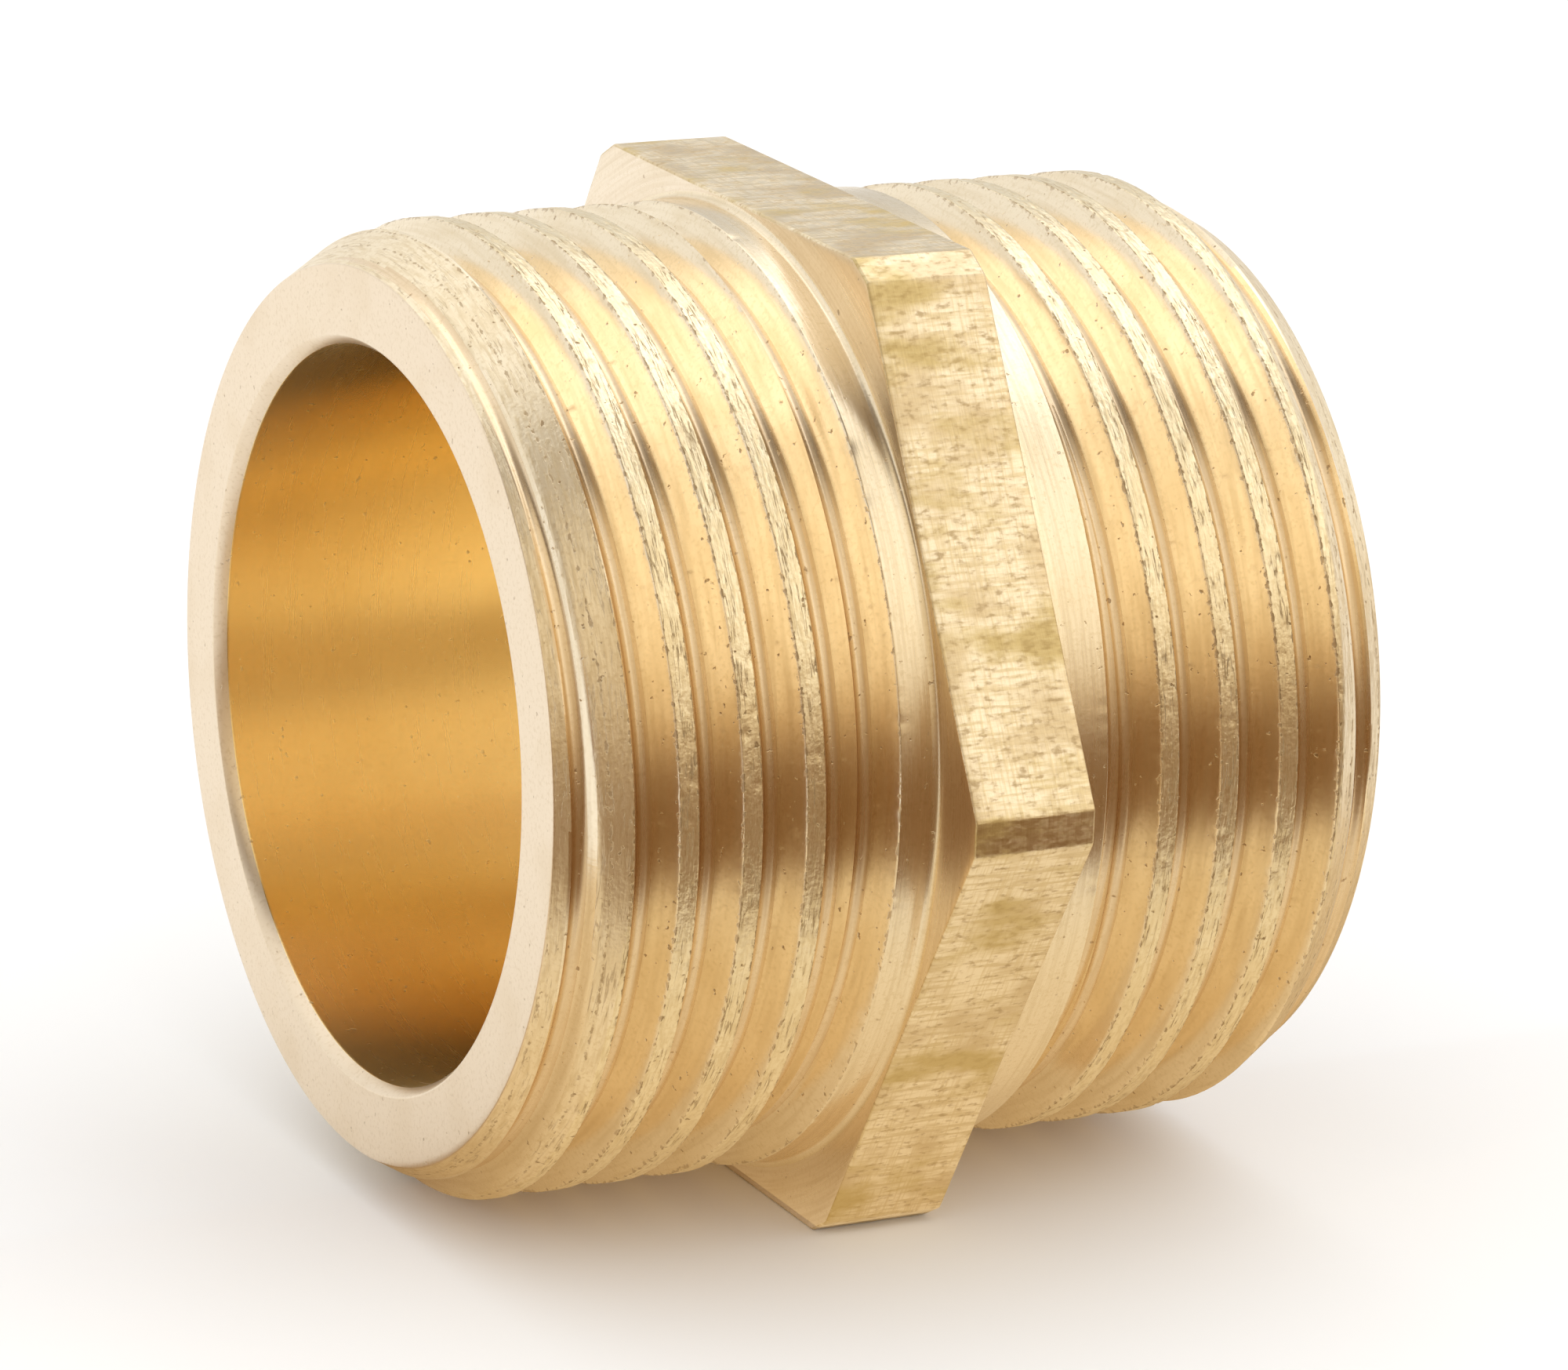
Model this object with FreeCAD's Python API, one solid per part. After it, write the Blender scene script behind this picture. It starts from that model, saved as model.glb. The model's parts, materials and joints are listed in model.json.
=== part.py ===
"""Brass hex nipple: one turned piece with a parallel G 3/4 thread on each side of a hexagonal collar.

The bore axis is X, the front end is at -X and a hexagon flat faces +Z. The origin is on the bore axis
in the middle of the collar, which is also the middle of the overall length. Units are millimetres.
"""
import FreeCAD, Part
import math
import os

# Thread: G 3/4 of ISO 228-1, right hand
THREAD_MAJOR_D = 26.44
THREAD_MINOR_D = 24.12
THREAD_PITCH = 1.814
FLANK_ANGLE = 27.5
CREST_FLAT = 0.52

# Lengths along the bore
COLLAR_WIDTH = 3.5
THREADED_END_LENGTH = 10.5

# Hexagonal bar
ACROSS_FLATS = 27.0
ACROSS_BROKEN_CORNERS = 30.65

# Bore and end faces
BORE_D = 20.0
BORE_CHAMFER_RADIAL = 0.25
BORE_CHAMFER_DEPTH = 0.35
END_FACE_D = 24.28
LEAD_IN_LENGTH = 1.8

# Plain lands beside the collar, and the ring groove in which each thread runs out
FRONT_LAND = 1.08
REAR_LAND = 1.52
SHOULDER_FILLET = 0.2
RUN_OUT_DEPTH = 0.95

# Distance from each end face to the centre of its first groove, on the -Y side
FRONT_GROOVE_START = 0.64
REAR_GROOVE_START = 0.72

# Threading tool: how far its section stands out of the thread, how far before the end face its cut
# begins, and how far short of the ring groove's centre its feed stops
TOOL_CLEARANCE = 0.25
TOOL_APPROACH = 1.1
FEED_STOP_SHORT = 0.2

ORIGIN = FreeCAD.Vector(0, 0, 0)
AXIS = FreeCAD.Vector(1, 0, 0)
COLLAR_X = COLLAR_WIDTH / 2
END_X = COLLAR_X + THREADED_END_LENGTH
MAJOR_R = THREAD_MAJOR_D / 2
MINOR_R = THREAD_MINOR_D / 2
BORE_R = BORE_D / 2
SHOULDER_R = MAJOR_R + SHOULDER_FILLET
FLANK_SLOPE = math.tan(math.radians(FLANK_ANGLE))
HALF_ROOT = (THREAD_PITCH - CREST_FLAT) / 2 - (MAJOR_R - MINOR_R) * FLANK_SLOPE


def point(x, r):
    """A point of a turned outline, at x along the bore and r from its axis."""
    return FreeCAD.Vector(x, r, 0)


def end_blank():
    """One end before threading, from its face at -X to the collar's middle, with bore and fillet."""
    fillet_start = point(-COLLAR_X - SHOULDER_FILLET, MAJOR_R)
    bend = SHOULDER_FILLET * (1 - math.sqrt(0.5))
    fillet_middle = point(-COLLAR_X - bend, MAJOR_R + bend)
    fillet_end = point(-COLLAR_X, SHOULDER_R)
    outline = [fillet_end,
               point(0, SHOULDER_R),
               point(0, BORE_R),
               point(BORE_CHAMFER_DEPTH - END_X, BORE_R),
               point(-END_X, BORE_R + BORE_CHAMFER_RADIAL),
               point(-END_X, END_FACE_D / 2),
               point(LEAD_IN_LENGTH - END_X, MAJOR_R),
               fillet_start]
    edges = [Part.LineSegment(a, b).toShape() for a, b in zip(outline, outline[1:])]
    edges.append(Part.Arc(fillet_start, fillet_middle, fillet_end).toShape())
    return Part.Face(Part.Wire(edges)).revolve(ORIGIN, AXIS, 360)


def groove_outline(depth):
    """Corners (offset along the bore, radius) of a groove's section that is cut to a depth."""
    half_outer = HALF_ROOT + (depth + TOOL_CLEARANCE) * FLANK_SLOPE
    root_r = MAJOR_R - depth
    outer_r = MAJOR_R + TOOL_CLEARANCE
    return [(-HALF_ROOT, root_r), (-half_outer, outer_r), (half_outer, outer_r), (HALF_ROOT, root_r)]


def closed_wire(points):
    """A closed outline of straight lines."""
    return Part.makePolygon(points + [points[0]])


def thread_cutter(start_x, end_x, groove_x):
    """A right-hand helical groove from start_x to end_x that passes the -Y side at groove_x."""
    outline = groove_outline(MAJOR_R - MINOR_R)
    section = closed_wire([FreeCAD.Vector(r, 0, offset) for offset, r in outline])
    helix = Part.makeHelix(THREAD_PITCH, end_x - start_x, MINOR_R)
    sweep = Part.BRepOffsetAPI.MakePipeShell(Part.Wire(helix))
    sweep.setFrenetMode(True)
    sweep.add(section)
    sweep.build()
    sweep.makeSolid()
    cutter = sweep.shape()
    # The helix climbs Z and starts on X: turn both on by one axis, so that it runs along X from +Y
    cutter.rotate(ORIGIN, FreeCAD.Vector(1, 1, 1), 120)
    cutter.rotate(ORIGIN, AXIS, 180 + 360 * (start_x - groove_x) / THREAD_PITCH)
    cutter.translate(AXIS * start_x)
    return cutter


def run_out_cutter(land):
    """The ring groove beside a plain land, into which the thread runs out, and its centre."""
    outline = groove_outline(RUN_OUT_DEPTH)
    half_width = HALF_ROOT + RUN_OUT_DEPTH * FLANK_SLOPE
    centre_x = -COLLAR_X - land - half_width
    section = closed_wire([point(centre_x + offset, r) for offset, r in outline])
    return Part.Face(section).revolve(ORIGIN, AXIS, 360), centre_x


def threaded_end(land, groove_start):
    """One threaded end, from its face at -X to the collar's middle."""
    ring, ring_x = run_out_cutter(land)
    thread = thread_cutter(-END_X - TOOL_APPROACH, ring_x - FEED_STOP_SHORT, groove_start - END_X)
    return end_blank().cut(thread).cut(ring)


def hexagonal_collar():
    """A slice of hexagonal bar with flats across Z, broken corners and the bore through it."""
    flat_r = ACROSS_FLATS / 2
    corner_r = ACROSS_BROKEN_CORNERS / 2
    half_flat = math.acos(flat_r / corner_r)
    corners = []
    for flat in range(6):
        middle = math.radians(30 + 60 * flat)
        for angle in (middle - half_flat, middle + half_flat):
            corners.append(FreeCAD.Vector(-COLLAR_X, corner_r * math.cos(angle), corner_r * math.sin(angle)))
    bar = Part.Face(closed_wire(corners)).extrude(AXIS * COLLAR_WIDTH)
    return bar.cut(Part.makeCylinder(BORE_R, COLLAR_WIDTH, AXIS * -COLLAR_X, AXIS))


def nipple_body():
    """The whole fitting, which is one solid piece of metal."""
    front = threaded_end(FRONT_LAND, FRONT_GROOVE_START)
    rear = threaded_end(REAR_LAND, REAR_GROOVE_START)
    rear.rotate(ORIGIN, FreeCAD.Vector(0, 1, 0), 180)
    body = hexagonal_collar().fuse([front, rear])
    return body.removeSplitter().Solids[0]


os.makedirs("parts", exist_ok=True)
nipple = nipple_body()
nipple.exportStep("parts/nipple_body.step")
print("nipple_body valid:", nipple.isValid(), "volume in mm3:", round(nipple.Volume, 1))
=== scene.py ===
"""A brass hex nipple on a pale studio floor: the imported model's one body, remade as a detailed mesh.

Lengths are worked out in millimetres along the bore (x) and out from its axis (r), with angles round the
axis from +Y towards +Z, and become metres only where the mesh is made.
"""

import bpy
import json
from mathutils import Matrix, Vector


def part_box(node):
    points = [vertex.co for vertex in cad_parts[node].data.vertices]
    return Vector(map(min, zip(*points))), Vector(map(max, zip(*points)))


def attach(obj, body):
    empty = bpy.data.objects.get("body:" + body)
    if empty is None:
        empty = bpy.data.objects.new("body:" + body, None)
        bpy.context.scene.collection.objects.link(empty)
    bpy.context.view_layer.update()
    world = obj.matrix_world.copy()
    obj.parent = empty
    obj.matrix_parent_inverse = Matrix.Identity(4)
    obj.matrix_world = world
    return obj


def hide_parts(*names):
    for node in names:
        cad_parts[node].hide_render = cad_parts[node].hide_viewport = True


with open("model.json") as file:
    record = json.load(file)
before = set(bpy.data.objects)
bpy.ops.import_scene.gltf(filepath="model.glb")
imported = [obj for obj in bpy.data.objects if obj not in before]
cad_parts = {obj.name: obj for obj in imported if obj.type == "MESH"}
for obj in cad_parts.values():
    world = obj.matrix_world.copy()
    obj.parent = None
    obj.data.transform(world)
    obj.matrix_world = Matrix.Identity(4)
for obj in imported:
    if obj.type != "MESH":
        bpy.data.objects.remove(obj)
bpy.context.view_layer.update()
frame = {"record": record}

import json
import math

import bmesh
import bpy
import numpy as np
from mathutils import Matrix, Vector, noise

MM = 0.001
NODE = "nipple_body"

# ---------------------------------------------------------------- sizes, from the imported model
mounts = {mount["name"]: mount for mount in frame["record"]["mounts"]}
box_low, box_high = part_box(NODE)
END_X = box_high.x / MM
FLAT_R = box_high.z / MM
BROKEN_CORNER_R = box_high.y / MM
BORE_R = mounts["bore"]["dims"]["r_mm"]
CREST_R = mounts["front_thread"]["dims"]["r_mm"]
COLLAR_X = END_X - mounts["front_thread"]["dims"]["length_mm"]
BORE_CHAMFER = END_X - mounts["bore"]["dims"]["length_mm"] / 2

# The thread has the pitch, diameter and 55 degree flanks of G 3/4 of ISO 228-1. Its groove has a round root and
# leaves crests 0.52 mm wide, which makes it 0.95 mm deep, where the standard's is 1.16 mm. The ring groove that
# ends it has the same section.
PITCH = 1.814
FLANK_ANGLE = math.radians(27.5)
ROOT_R = 0.137 * PITCH
GROOVE_DEPTH = 0.95
ROOT_EDGE = ROOT_R * math.cos(FLANK_ANGLE)
ROOT_LIFT = ROOT_R * (1 - math.sin(FLANK_ANGLE))
GROOVE_EDGE = ROOT_EDGE + (GROOVE_DEPTH - ROOT_LIFT) * math.tan(FLANK_ANGLE)
EDGE_ROUNDING = 0.035

# Each end: the plain land beside the collar, and the first groove's distance from the end face at -Y
ENDS = {
    "front": {"land": 1.08, "groove_start": 0.64},
    "rear": {"land": 1.52, "groove_start": 0.72},
}
FACE_R = 12.14
LEAD_IN_LENGTH = 1.8
MOUTH_R = BORE_R + 0.25
RIM_ROUNDING = 0.05
SHOULDER_FILLET = 0.2
COLLAR_BEVEL = 0.07
BAR_EDGE_ROUNDING = 0.03

# ---------------------------------------------------------------- the mesh
SLOTS = ["end_face", "lead_in", "root", "flank", "crest", "land", "collar_face", "collar_flat", "bore"]
SLOT_INDEX = {name: number for number, name in enumerate(SLOTS)}


def column_angles():
    """Angles of the mesh's columns: every half degree, and closer at the bar's twelve edges."""
    half_corner = 60 - math.degrees(bar_edge_angle()) - 30
    angles = set(np.arange(0, 360.5, 0.5))
    for corner in range(0, 420, 60):
        for side in (-half_corner, half_corner):
            for step in (-0.36, -0.18, 0.0, 0.18, 0.36):
                angles.add(round(corner + side + step, 6))
    return np.radians(sorted(angle for angle in angles if 0 <= angle <= 360))


def bar_edge_angle():
    """Angle from the middle of a flat to the edge where the broken corner begins."""
    spread = math.radians(30)
    return math.atan((BROKEN_CORNER_R / FLAT_R - math.cos(spread)) / math.sin(spread))


def smooth_min(a, b, rounding):
    """The lower of two heights, with the corner between them rounded."""
    overlap = np.maximum(rounding - np.abs(a - b), 0)
    return np.minimum(a, b) - overlap ** 2 / (4 * rounding)


def bar_outline(theta):
    """Distance from the axis to the surface of the hexagonal bar."""
    half_side = math.radians(30)
    from_flat = theta % (2 * half_side) - half_side
    from_corner = (theta + half_side) % (2 * half_side) - half_side
    return smooth_min(FLAT_R / np.cos(from_flat), BROKEN_CORNER_R / np.cos(from_corner), BAR_EDGE_ROUNDING)


def groove_radius(distance):
    """Radius of a groove's surface at a distance from its centre line: a round root between two flanks."""
    nearest = np.minimum(distance, ROOT_EDGE)
    root = CREST_R - GROOVE_DEPTH + ROOT_R - np.sqrt(ROOT_R ** 2 - nearest ** 2)
    return root + (distance - nearest) / math.tan(FLANK_ANGLE)


# Nicks in the crests: noise features per millimetre along and across the bore, the noise level above which
# there is a nick, its depth for each unit above that, and how far below a crest nicks begin and are full
NICKS_ALONG, NICKS_ACROSS = 4.0, 3.2
NICK_LEVEL = 0.22
NICK_DEPTH = 0.05
NICKS_BEGIN, NICKS_FULL = 0.16, 0.04


def nicked(x, theta, radius):
    """Small nicks taken out of the thread's edges and crests."""
    across = CREST_R * NICKS_ACROSS
    points = np.stack([x * NICKS_ALONG, across * np.cos(theta), across * np.sin(theta)], axis=-1)
    dents = np.array([noise.noise(point) for point in points.tolist()])
    near_crest = np.clip((radius - CREST_R + NICKS_BEGIN) / (NICKS_BEGIN - NICKS_FULL), 0, 1)
    return radius - near_crest * NICK_DEPTH * np.clip(dents - NICK_LEVEL, 0, 1)


# Decimal places kept of x in millimetres, so that rows that run together fall on exactly the same points, how
# close points are joined, and the angle from which an edge is shaded sharp
PLACES = 3
JOIN_WITHIN = 0.0002
SHARP_ANGLE = math.radians(40)

# Rows along half of the bore, how far rows stand from an edge to keep it crisp, how far the lead-in has to cut
# into a row before it counts as its surface, and the least width of the collar's face, under the flats' middles
BORE_ROWS = 14
BESIDE_EDGE = 0.02
CUT_IN = 0.02
LEAST_FACE = 0.005

# Where rows lie between a groove's centre line and the middle of the ridge beside it: places on the root and
# flank, steps over the rounded edge, and shares of the crest
SLOPE_ROWS = [ROOT_EDGE * share for share in (0.0, 0.25, 0.5, 0.75, 1.0)]
SLOPE_ROWS += [ROOT_EDGE + (GROOVE_EDGE - ROOT_EDGE) * share for share in (0.15, 0.35, 0.55, 0.75, 0.9)]
SLOPE_ROWS += [GROOVE_EDGE - 0.012, GROOVE_EDGE]
CREST_STEPS = (0.014, 0.035)
CREST_SHARES = (0.25, 0.5, 0.75, 1.0)


def half_ridge(middle):
    """Distances from a groove's centre line to the ridge's middle, each with the surface that it ends."""
    rows = [(distance, "root" if distance <= ROOT_EDGE else "flank") for distance in SLOPE_ROWS]
    rows += [(GROOVE_EDGE + step, "crest") for step in CREST_STEPS]
    crest_start = GROOVE_EDGE + CREST_STEPS[-1]
    rows += [(crest_start + (middle - crest_start) * share, "crest") for share in CREST_SHARES]
    return [(np.minimum(distance, middle), surface) for distance, surface in rows]


class Rows:
    """Rows of points from the middle of the bore, over an end, to the middle of the collar."""

    def __init__(self, theta):
        self.theta = theta
        self.x, self.r, self.slots, self.edges = [], [], [], []

    def add(self, x, r, slot, edge=1.0):
        """One row; slot names the material between it and the row before, or gives one for each column.

        edge is the distance to the nearest edge between a crest and a flank.
        """
        ones = np.ones_like(self.theta)
        self.x.append(x * ones)
        self.r.append(r * ones)
        self.edges.append(edge * ones)
        self.slots.append(np.full(len(self.theta), SLOT_INDEX[slot]) if isinstance(slot, str) else slot)


def add_bore_and_face(rows, first_x, first_r):
    """From the middle of the bore out through its chamfer and over the end face to the rounded rim."""
    for x in np.linspace(0, BORE_CHAMFER - END_X + 0.05, BORE_ROWS):
        rows.add(x, BORE_R, "bore")
    rows.add(BORE_CHAMFER - END_X, BORE_R, "bore")
    rows.add(BORE_CHAMFER - END_X - BESIDE_EDGE, BORE_R + BESIDE_EDGE / 2, "bore")
    rows.add(BESIDE_EDGE - END_X, MOUTH_R - BESIDE_EDGE, "end_face")
    rows.add(-END_X, MOUTH_R + BESIDE_EDGE, "end_face")
    for share in (0.02, 0.1, 0.5, 0.9):
        rows.add(-END_X, MOUTH_R + (first_r - RIM_ROUNDING - MOUTH_R) * share, "end_face")
    for turn in np.radians((0, 30, 60)):
        radius = first_r - RIM_ROUNDING * (1 - math.sin(turn))
        rows.add(first_x - RIM_ROUNDING * math.cos(turn), radius, "end_face")


def lead_in_radius(x):
    """Radius of the cone that breaks the thread's first turns."""
    return FACE_R + (x + END_X) * (CREST_R - FACE_R) / LEAD_IN_LENGTH


def thread_radius(x, before, after, theta):
    """Radius between two groove centre lines, under the lead-in cone, with worn edges."""
    from_groove = np.minimum(np.abs(x - before), np.abs(x - after))
    radius = nicked(x, theta, smooth_min(groove_radius(from_groove), CREST_R, EDGE_ROUNDING))
    return radius, smooth_min(radius, lead_in_radius(x), EDGE_ROUNDING)


def add_thread(rows, end, ring_x, first_x):
    """Helical rows that follow the grooves, from the rim to where the feed stops and the groove is a ring."""
    turn = (rows.theta - math.pi) / (2 * math.pi)
    start = end["groove_start"] - END_X
    for k in range(-2, math.ceil((ring_x - start) / PITCH + 0.5) + 1):
        before, after = (np.minimum(np.round(start + PITCH * (turn + number), PLACES), ring_x)
                         for number in (k, k + 1))
        rising = half_ridge((after - before) / 2)
        steps = [(before + distance, surface) for distance, surface in rising[1:]]
        falling = zip(rising[-2::-1], rising[::-1])
        steps += [(after - distance, surface) for (distance, _), (_, surface) in falling]
        for x, surface in steps:
            x = np.round(np.maximum(x, first_x), PLACES)
            thread, radius = thread_radius(x, before, after, rows.theta)
            slots = np.full(len(rows.theta), SLOT_INDEX[surface])
            cut = (radius < thread - CUT_IN) & (lead_in_radius(x) < CREST_R - CUT_IN / 2)
            slots[cut] = SLOT_INDEX["lead_in"]
            edge = np.abs(np.minimum(np.abs(x - before), np.abs(x - after)) - GROOVE_EDGE)
            rows.add(x, radius, slots, edge)


def add_land_and_collar(rows, ring_x):
    """The ring groove's far side, the plain land, the fillet, and half of the hexagonal collar."""
    theta = rows.theta
    land_start = ring_x + GROOVE_EDGE + CREST_STEPS[-1]
    for distance in SLOPE_ROWS[1:] + [GROOVE_EDGE + step for step in CREST_STEPS]:
        x = ring_x + distance + 0 * theta
        radius = nicked(x, theta, smooth_min(groove_radius(distance), CREST_R, EDGE_ROUNDING))
        surface = "root" if distance <= ROOT_EDGE else "flank" if distance <= GROOVE_EDGE else "land"
        rows.add(x, radius, surface, abs(distance - GROOVE_EDGE))
    land_end = -COLLAR_X - SHOULDER_FILLET
    for share in (0.2, 0.5, 0.8, 1.0):
        rows.add(land_start + (land_end - land_start) * share, CREST_R, "land")
    for bend in np.radians((22.5, 45, 67.5, 90)):
        rows.add(land_end + SHOULDER_FILLET * math.sin(bend),
                 CREST_R + SHOULDER_FILLET * (1 - math.cos(bend)), "land")
    outline = bar_outline(theta)
    inner = CREST_R + SHOULDER_FILLET
    flat_edge = outline - COLLAR_BEVEL
    for share in (0.15, 0.5, 0.85, 1.0):
        rows.add(-COLLAR_X, inner + (np.maximum(flat_edge, inner + LEAST_FACE) - inner) * share, "collar_face")
    for turn in np.radians((30, 60, 90)):
        rows.add(-COLLAR_X + COLLAR_BEVEL * (1 - math.cos(turn)),
                 outline - COLLAR_BEVEL * (1 - math.sin(turn)), "collar_flat")
    for share in (0.15, 0.4, 0.7, 1.0):
        rows.add((COLLAR_BEVEL - COLLAR_X) * (1 - share), outline, "collar_flat")


def end_grid(name):
    """Points and materials of one end with its half of the bore and collar, front end at -X."""
    end = ENDS[name]
    theta = column_angles()
    rows = Rows(theta)
    first_x = RIM_ROUNDING - END_X
    ring_x = round(-COLLAR_X - end["land"] - GROOVE_EDGE, PLACES)
    add_bore_and_face(rows, first_x, lead_in_radius(first_x))
    add_thread(rows, end, ring_x, first_x)
    add_land_and_collar(rows, ring_x)
    x, r = np.array(rows.x), np.array(rows.r)
    points = np.stack([x, r * np.cos(theta), r * np.sin(theta)], axis=-1)
    if name == "rear":
        points = points * (-1, 1, -1)
    return points, np.array(rows.slots), np.array(rows.edges)


def add_grid(work, points, slots, edges):
    """Adds one grid of points to a bmesh, as quads, and notes how far each point is from a crest's edge."""
    layer = work.verts.layers.float.get("edge") or work.verts.layers.float.new("edge")
    count_rows, count_columns = points.shape[:2]
    verts = [[work.verts.new(point) for point in row] for row in (points * MM).tolist()]
    for vert_row, edge_row in zip(verts, edges.tolist()):
        for vert, edge in zip(vert_row, edge_row):
            vert[layer] = edge
    for i in range(1, count_rows):
        for j in range(count_columns - 1):
            face = work.faces.new((verts[i - 1][j], verts[i - 1][j + 1], verts[i][j + 1], verts[i][j]))
            face.material_index = int(slots[i][j])


def nipple_mesh():
    """The closed mesh of the whole fitting."""
    work = bmesh.new()
    for name in ENDS:
        add_grid(work, *end_grid(name))
    bmesh.ops.remove_doubles(work, verts=work.verts, dist=JOIN_WITHIN * MM)
    bmesh.ops.recalc_face_normals(work, faces=work.faces)
    mesh = bpy.data.meshes.new("nipple")
    work.to_mesh(mesh)
    work.free()
    mesh.shade_smooth()
    mesh.set_sharp_from_angle(angle=SHARP_ANGLE)
    return mesh


# ---------------------------------------------------------------- materials
class Graph:
    """Adds nodes to a tree and links them in one call."""

    def __init__(self, tree):
        self.tree = tree

    def node(self, kind, inputs=(), **settings):
        """A node with its settings, its inputs by name or number given as values or as other outputs."""
        node = self.tree.nodes.new(kind)
        for name, value in settings.items():
            setattr(node, name, value)
        for key, value in dict(inputs).items():
            if isinstance(value, bpy.types.NodeSocket):
                self.tree.links.new(value, node.inputs[key])
            else:
                node.inputs[key].default_value = value
        return node

    def math(self, operation, *values):
        """A maths node's output."""
        return self.node("ShaderNodeMath", enumerate(values), operation=operation).outputs[0]

    def ramp(self, factor, stops, interpolation="LINEAR"):
        """A colour ramp's colour, from (place, colour) stops."""
        node = self.node("ShaderNodeValToRGB", {"Fac": factor})
        node.color_ramp.interpolation = interpolation
        elements = node.color_ramp.elements
        while len(elements) < len(stops):
            elements.new(1.0)
        for element, (place, colour) in zip(elements, stops):
            element.position = place
            element.color = (*colour, 1) if isinstance(colour, tuple) else (colour, colour, colour, 1)
        return node.outputs["Color"]

    def mix(self, factor, first, second, blend="MIX"):
        """A mix of two colours."""
        node = self.node("ShaderNodeMix", data_type="RGBA", blend_type=blend)
        for place, value in ((0, factor), (6, first), (7, second)):
            if isinstance(value, bpy.types.NodeSocket):
                self.tree.links.new(value, node.inputs[place])
            else:
                node.inputs[place].default_value = value if place == 0 else (*value, 1)
        return node.outputs[2]


class Metal(Graph):
    """Brass with its marks: lines left by the tool or the drawing die, stains, pits and scratches."""

    def __init__(self, name, colour, roughness):
        self.material = bpy.data.materials.new(name)
        self.material.use_nodes = True
        super().__init__(self.material.node_tree)
        self.shader = self.tree.nodes["Principled BSDF"]
        self.shader.inputs["Metallic"].default_value = 1.0
        object_place = self.node("ShaderNodeTexCoord").outputs["Object"]
        scaled = self.node("ShaderNodeVectorMath", {0: object_place, "Scale": 1 / MM}, operation="SCALE")
        self.place = scaled.outputs[0]
        self.colour, self.base = colour, colour
        self.roughness = roughness
        self.height = None

    def noise(self, stretch, detail=2.0, radial=False):
        """Noise with its own number of features per millimetre along x, y and z, or out from the axis."""
        place = self.place
        if radial:
            across = self.node("ShaderNodeVectorMath", {0: place, 1: (0, 1, 1)}, operation="MULTIPLY")
            out = self.node("ShaderNodeVectorMath", {0: across.outputs[0]}, operation="LENGTH")
            length = out.outputs["Value"]
            parts = self.node("ShaderNodeSeparateXYZ", {0: place}).outputs
            place = self.node("ShaderNodeCombineXYZ", {0: length, 1: parts[1], 2: parts[2]}).outputs[0]
        place = self.node("ShaderNodeVectorMath", {0: place, 1: stretch}, operation="MULTIPLY").outputs[0]
        settings = {"Vector": place, "Scale": 1.0, "Detail": detail}
        return self.node("ShaderNodeTexNoise", settings).outputs["Fac"]

    def between(self, value, low, high, top=1.0):
        """0 below low, top above high and a straight rise between them."""
        limits = {"Value": value, "From Min": low, "From Max": high, "To Max": top}
        return self.node("ShaderNodeMapRange", limits).outputs["Result"]

    def tint(self, amount, tone):
        """Multiplies the colour by a tone where amount is 1."""
        tinted = tuple(c * t for c, t in zip(self.base, tone))
        self.colour = self.mix(amount, self.colour, tinted)

    def dull(self, amount, extra):
        """Makes the surface rougher where amount is 1."""
        self.roughness = self.math("MULTIPLY_ADD", amount, extra, self.roughness)

    def raise_by(self, amount, microns):
        """Adds to the bump height, in micrometres."""
        scaled = self.math("MULTIPLY", amount, microns)
        self.height = scaled if self.height is None else self.math("ADD", self.height, scaled)

    def edge_wear(self, most):
        """Broken dark marks that follow the edges between crests and flanks."""
        edge = self.node("ShaderNodeAttribute", attribute_name="edge").outputs["Fac"]
        ragged = self.noise((9.0, 5.0, 5.0), detail=5.0)
        reach = self.math("MULTIPLY", self.between(ragged, 0.46, 0.74), 0.09)
        return self.between(self.math("SUBTRACT", reach, edge), 0.0, 0.03, most)

    def cracks(self, most):
        """Thin broken cracks and folded slivers that run mostly round the axis."""
        field = self.noise((7.0, 0.45, 0.45), detail=5.0)
        apart = self.math("ABSOLUTE", self.math("SUBTRACT", field, 0.5))
        broken = self.between(self.noise((2.0, 1.1, 1.1), detail=3.0), 0.46, 0.58)
        return self.math("MULTIPLY", self.between(apart, 0.020, 0.004, most), broken)

    def brush_round(self, strength):
        """Stretches reflections along x, as marks that run round the axis do."""
        self.shader.inputs["Anisotropic"].default_value = strength
        self.shader.inputs["Anisotropic Rotation"].default_value = 0.25
        tangent = self.node("ShaderNodeTangent", direction_type="RADIAL", axis="X").outputs["Tangent"]
        self.tree.links.new(tangent, self.shader.inputs["Tangent"])

    def finish(self):
        """Links the layers to the shader."""
        self.tree.links.new(self.colour, self.shader.inputs["Base Color"])
        self.tree.links.new(self.roughness, self.shader.inputs["Roughness"])
        bump = self.node("ShaderNodeBump", {"Height": self.height, "Distance": MM / 1000})
        self.tree.links.new(bump.outputs["Normal"], self.shader.inputs["Normal"])
        return self.material


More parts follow.
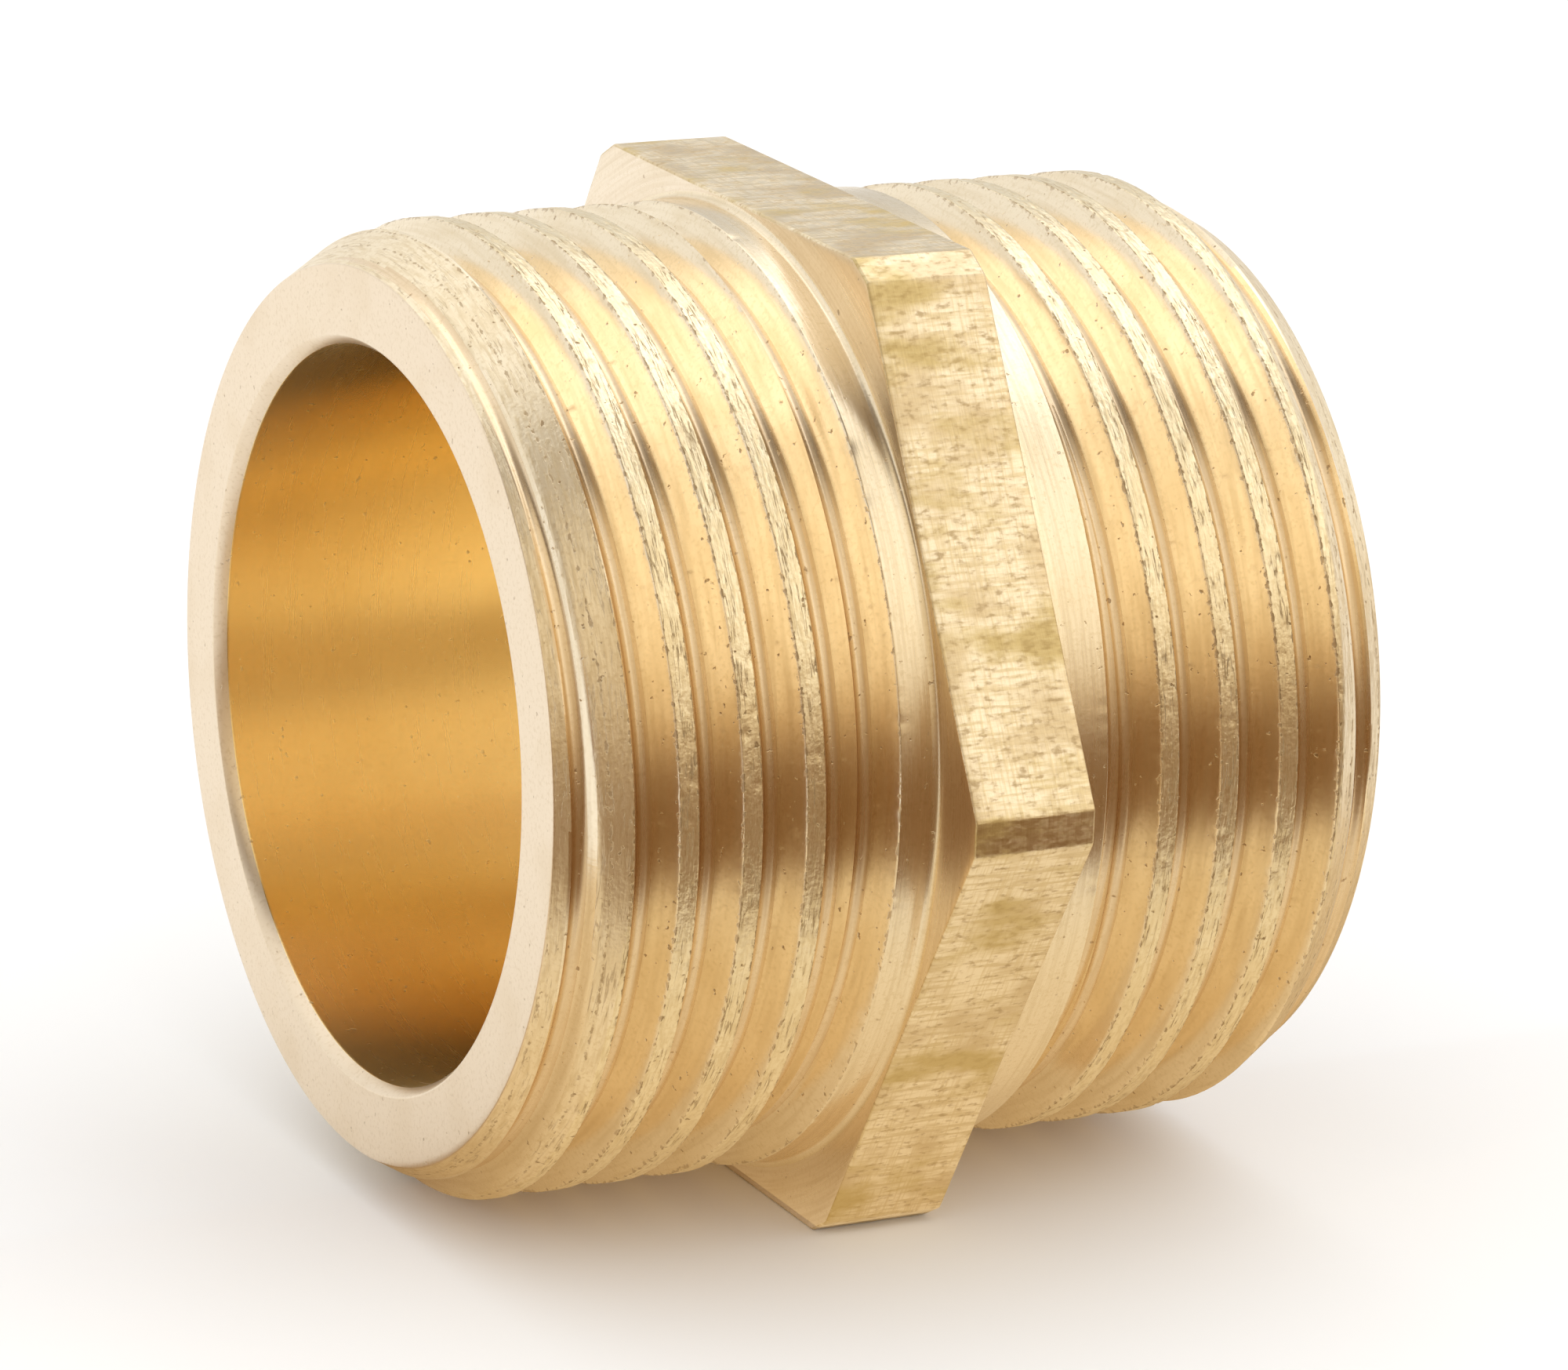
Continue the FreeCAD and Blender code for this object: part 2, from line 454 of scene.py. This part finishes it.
def turned(name, colour, roughness, radial=False, depth=3.0, shade=0.5, pits=0.5, wear=0.0, brushed=0.0,
           streak=0.35, cracked=0.0, lined=1.0):
    """Turned metal: fine lines round the axis, pits, changes of tone, cracks, and wear along edges.

    lined scales the lines alone, for surfaces that are grainy and not lined.
    """
    metal = Metal(name, colour, roughness)
    lines = metal.noise((11.0, streak, streak), detail=3.0, radial=radial)
    clouds = metal.noise((0.5, 0.35, 0.35), detail=3.0)
    spots = metal.noise((4.5, 4.5, 4.5), detail=2.0)
    grain = metal.noise((8.5, 8.5, 8.5), detail=3.0)
    metal.tint(metal.between(lines, 0.45, 0.68, shade * lined), (0.84, 0.80, 0.72))
    metal.tint(metal.between(clouds, 0.5, 0.72, shade), (0.90, 0.86, 0.78))
    metal.tint(metal.between(grain, 0.52, 0.68, shade), (0.86, 0.82, 0.74))
    pit = metal.between(spots, 0.70, 0.76, pits)
    if wear:
        pit = metal.math("MAXIMUM", pit, metal.edge_wear(wear))
    if cracked:
        pit = metal.math("MAXIMUM", pit, metal.cracks(cracked))
    metal.tint(pit, (0.42, 0.34, 0.26))
    metal.dull(metal.between(lines, 0.3, 0.7), 0.08 * lined)
    metal.dull(pit, 0.3)
    if brushed:
        metal.brush_round(brushed)
    metal.raise_by(lines, depth * lined)
    metal.raise_by(grain, depth * 0.5)
    metal.raise_by(pit, -12.0)
    return metal.finish()


def drawn(name, colour, roughness):
    """The bar's own skin on the flats: marks of the drawing die along x, scratches, stains and specks."""
    metal = Metal(name, colour, roughness)
    die = metal.noise((0.9, 9.0, 9.0), detail=3.0)
    cross = metal.noise((13.0, 0.8, 0.8), detail=3.0)
    clouds = metal.noise((0.42, 0.65, 0.65), detail=5.0)
    grain = metal.noise((3.5, 7.0, 7.0), detail=5.0)
    stain = metal.noise((0.36, 0.75, 0.75), detail=7.0)
    metal.tint(metal.between(die, 0.46, 0.62, 0.8), (0.76, 0.70, 0.56))
    metal.tint(metal.between(cross, 0.50, 0.64, 0.65), (0.80, 0.74, 0.60))
    metal.tint(metal.between(clouds, 0.47, 0.62, 0.9), (0.74, 0.67, 0.55))
    metal.tint(metal.between(grain, 0.56, 0.70, 0.75), (0.56, 0.48, 0.36))
    metal.tint(metal.between(stain, 0.50, 0.66, 1.0), (0.71, 0.64, 0.42))
    metal.dull(metal.between(grain, 0.45, 0.65), 0.2)
    metal.dull(metal.between(stain, 0.56, 0.68), 0.15)
    metal.raise_by(die, 14.0)
    metal.raise_by(cross, 11.0)
    metal.raise_by(grain, 10.0)
    return metal.finish()


FINISHES = {
    "end_face": turned("end_face", (0.85, 0.71, 0.53), 0.32, radial=True, depth=4.0, shade=0.6, pits=0.5,
                       lined=0.12),
    "lead_in": turned("lead_in", (0.92, 0.79, 0.57), 0.34, depth=16.0, streak=1.4, shade=0.9, pits=0.8,
                      wear=0.55, cracked=0.4),
    # The root's colour is darker and warmer than the flanks': painted shade in the recess at the bottom of the
    # groove
    "root": turned("root", (0.84, 0.67, 0.45), 0.24, depth=2.0, shade=0.6, pits=0.6),
    "flank": turned("flank", (0.93, 0.80, 0.59), 0.17, depth=2.5, shade=0.6, pits=0.7, wear=0.5),
    "crest": turned("crest", (0.93, 0.80, 0.55), 0.30, depth=24.0, shade=1.0, pits=0.9, wear=0.85, streak=1.8,
                    cracked=0.75),
    "land": turned("land", (0.89, 0.76, 0.55), 0.21, depth=4.0, shade=0.6),
    "collar_face": turned("collar_face", (0.89, 0.76, 0.58), 0.26, radial=True, depth=3.0),
    "collar_flat": drawn("collar_flat", (0.93, 0.80, 0.58), 0.31),
    "bore": turned("bore", (0.98, 0.765, 0.39), 0.26, depth=0.5, shade=0.35, pits=0.35, brushed=0.85,
                   lined=0.2),
}

nipple = bpy.data.objects.new("nipple", nipple_mesh())
bpy.context.scene.collection.objects.link(nipple)
for slot_name in SLOTS:
    nipple.data.materials.append(FINISHES[slot_name])
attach(nipple, "root")
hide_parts(NODE)

# ---------------------------------------------------------------- floor, light and camera
AZIMUTH, ELEVATION, ROLL = (math.radians(angle) for angle in (-27.5, 16.39, 2.34))
DISTANCE = 0.19964
LENS = 167.2
AIM_RIGHT, AIM_UP = 1.99 * MM, -0.124 * MM


def make_camera():
    """A long lens at the front, to the left and above, turned a little about its own axis."""
    back = Vector((math.sin(AZIMUTH) * math.cos(ELEVATION), -math.cos(AZIMUTH) * math.cos(ELEVATION),
                   math.sin(ELEVATION)))
    level = Vector((math.cos(AZIMUTH), math.sin(AZIMUTH), 0))
    above = back.cross(level)
    right = level * math.cos(ROLL) + above * math.sin(ROLL)
    up = above * math.cos(ROLL) - level * math.sin(ROLL)
    aim = Vector((-COLLAR_X * MM, 0, 0)) + right * AIM_RIGHT + up * AIM_UP
    camera = bpy.data.objects.new("camera", bpy.data.cameras.new("camera"))
    camera.data.lens = LENS
    camera.data.clip_start = 0.01
    turned_to = Matrix((right, up, back)).transposed().to_4x4()
    camera.matrix_world = Matrix.Translation(aim + back * DISTANCE) @ turned_to
    bpy.context.scene.collection.objects.link(camera)
    bpy.context.scene.camera = camera


def make_floor():
    """A plain pale sheet under the collar's lowest flat."""
    reach = 1.5
    mesh = bpy.data.meshes.new("floor")
    height = box_low.z
    mesh.from_pydata([(-reach, -reach, height), (reach, -reach, height), (reach, reach, height),
                      (-reach, reach, height)], [], [(0, 1, 2, 3)])
    floor = bpy.data.objects.new("floor", mesh)
    bpy.context.scene.collection.objects.link(floor)
    material = bpy.data.materials.new("floor")
    material.use_nodes = True
    material.node_tree.nodes["Principled BSDF"].inputs["Base Color"].default_value = (0.9, 0.9, 0.9, 1)
    material.node_tree.nodes["Principled BSDF"].inputs["Roughness"].default_value = 0.8
    mesh.materials.append(material)


def patch(graph, direction, centre, inner, outer):
    """1 within inner degrees of a direction and 0 beyond outer degrees, with a soft edge."""
    aligned = graph.node("ShaderNodeVectorMath", {0: direction, 1: Vector(centre).normalized()},
                         operation="DOT_PRODUCT").outputs["Value"]
    limits = {"From Min": math.cos(math.radians(outer)), "From Max": math.cos(math.radians(inner))}
    return graph.node("ShaderNodeMapRange", {"Value": aligned, **limits},
                      interpolation_type="SMOOTHSTEP").outputs["Result"]


def gap_between_lights(graph, direction):
    """1 in the dark strip overhead, which runs from left to right just in front of the zenith."""
    centre = graph.math("MULTIPLY_ADD", direction["X"], -0.15, -0.29)
    away = graph.math("ABSOLUTE", graph.math("SUBTRACT", direction["Y"], centre))
    strip = graph.node("ShaderNodeMapRange", {"Value": away, "From Min": 0.22, "From Max": 0.07},
                       interpolation_type="SMOOTHSTEP").outputs["Result"]
    left = graph.node("ShaderNodeMapRange", {"Value": direction["X"], "From Min": 0.46, "From Max": 0.26},
                      interpolation_type="SMOOTHSTEP").outputs["Result"]
    above = graph.math("GREATER_THAN", direction["Z"], 0.3)
    return graph.math("MULTIPLY", graph.math("MULTIPLY", strip, left), above)


# Direction and colour of the brightest patch of the tent, the colour of the gap between its lights, and the even
# light that the brass and the floor scatter
OVERHEAD = (0.36, 0.25, 0.88)
OVERHEAD_LIGHT = (1.8, 1.8, 1.85)
GAP_LIGHT = (0.10, 0.06, 0.035)
DIFFUSE_LIGHT = (1.25, 1.25, 1.25)


def make_light():
    """A white tent, brighter overhead, dim and warm low down in front where its opening is."""
    world = bpy.data.worlds.new("studio")
    world.use_nodes = True
    bpy.context.scene.world = world
    graph = Graph(world.node_tree)
    direction = graph.node("ShaderNodeTexCoord").outputs["Generated"]
    parts = graph.node("ShaderNodeSeparateXYZ", {0: direction})
    height = parts.outputs["Z"]
    front = graph.ramp(height, [(0.0, (0.38, 0.25, 0.12)), (0.05, (0.49, 0.34, 0.19)),
                                (0.12, (0.72, 0.58, 0.40)), (0.25, (0.97, 0.88, 0.73)),
                                (0.45, (1.14, 1.07, 0.93)), (1.0, (1.2, 1.18, 1.14))])
    across = graph.math("MULTIPLY_ADD", parts.outputs["X"], 0.5, 0.5)
    sideways = graph.ramp(across, [(0.25, (0.84, 0.78, 0.68)), (0.5, (0.90, 0.85, 0.77)), (0.65, 1.0),
                                   (0.82, 1.25)])
    front = graph.mix(1.0, front, sideways, "MULTIPLY")
    rear = graph.ramp(height, [(0.0, 1.08), (0.25, 0.95), (0.45, 1.0), (0.7, 1.15), (1.0, 1.15)])
    dim_right = graph.ramp(across, [(0.6, 1.0), (0.7, 0.72), (0.86, 0.78), (0.96, 1.0)])
    rear = graph.mix(1.0, rear, dim_right, "MULTIPLY")
    limits = {"Value": parts.outputs["Y"], "From Min": 0.1, "From Max": -0.3}
    frontness = graph.node("ShaderNodeMapRange", limits, interpolation_type="SMOOTHSTEP")
    tent = graph.mix(frontness.outputs["Result"], rear, front)
    tent = graph.mix(patch(graph, direction, OVERHEAD, 16, 34), tent, OVERHEAD_LIGHT)
    tent = graph.mix(gap_between_lights(graph, parts.outputs), tent, GAP_LIGHT)
    path = graph.node("ShaderNodeLightPath")
    tent = graph.mix(path.outputs["Is Diffuse Ray"], tent, DIFFUSE_LIGHT)
    shown = graph.mix(path.outputs["Is Camera Ray"], tent, (1, 1, 1))
    graph.tree.links.new(shown, graph.tree.nodes["Background"].inputs["Color"])
    bpy.context.scene.view_settings.view_transform = "Standard"


def make_card(name, near, far, reach, height, emission):
    """A card on the floor, outside the picture or seen only in the metal's reflections."""
    mesh = bpy.data.meshes.new(name)
    mesh.from_pydata([(-reach, -far, height), (reach, -far, height), (reach, -near, height),
                      (-reach, -near, height)], [], [(0, 1, 2, 3)])
    card = bpy.data.objects.new(name, mesh)
    bpy.context.scene.collection.objects.link(card)
    card.visible_camera = card.visible_diffuse = card.visible_shadow = False
    material = bpy.data.materials.new(name)
    material.use_nodes = True
    graph = Graph(material.node_tree)
    place = graph.node("ShaderNodeTexCoord").outputs["Object"]
    depth = graph.node("ShaderNodeSeparateXYZ", {0: place}).outputs["Y"]
    limits = {"Value": depth, "From Min": -far, "From Max": -near}
    share = graph.node("ShaderNodeMapRange", limits).outputs["Result"]
    shader = material.node_tree.nodes["Principled BSDF"]
    shader.inputs["Base Color"].default_value = (0, 0, 0, 1)
    shader.inputs["Specular IOR Level"].default_value = 0
    shader.inputs["Emission Strength"].default_value = 1
    graph.tree.links.new(graph.ramp(share, emission), shader.inputs["Emission Color"])
    mesh.materials.append(material)


# Where the dark card takes over from the warm one, how far it reaches, and the warm card's half width
CARDS_MEET, DARK_REACH, WARM_REACH = 28.5 * MM, 700 * MM, 45 * MM
DARK = (0.24, 0.13, 0.055)
make_card("dark_card", CARDS_MEET, DARK_REACH, DARK_REACH, box_low.z + 0.3 * MM, [(0.0, DARK), (1.0, DARK)])
# The warm card's light fades and browns towards the fitting: painted shade of the floor under the fitting, seen
# only in the metal's reflections
make_card("warm_card", 0 * MM, CARDS_MEET, WARM_REACH, box_low.z + 0.2 * MM,
          [(0.0, (0.99, 0.92, 0.79)), (0.38, (0.94, 0.81, 0.60)), (0.66, (0.84, 0.67, 0.44)),
           (0.84, (0.57, 0.40, 0.21)), (1.0, (0.34, 0.21, 0.10))])
make_camera()
make_floor()
make_light()
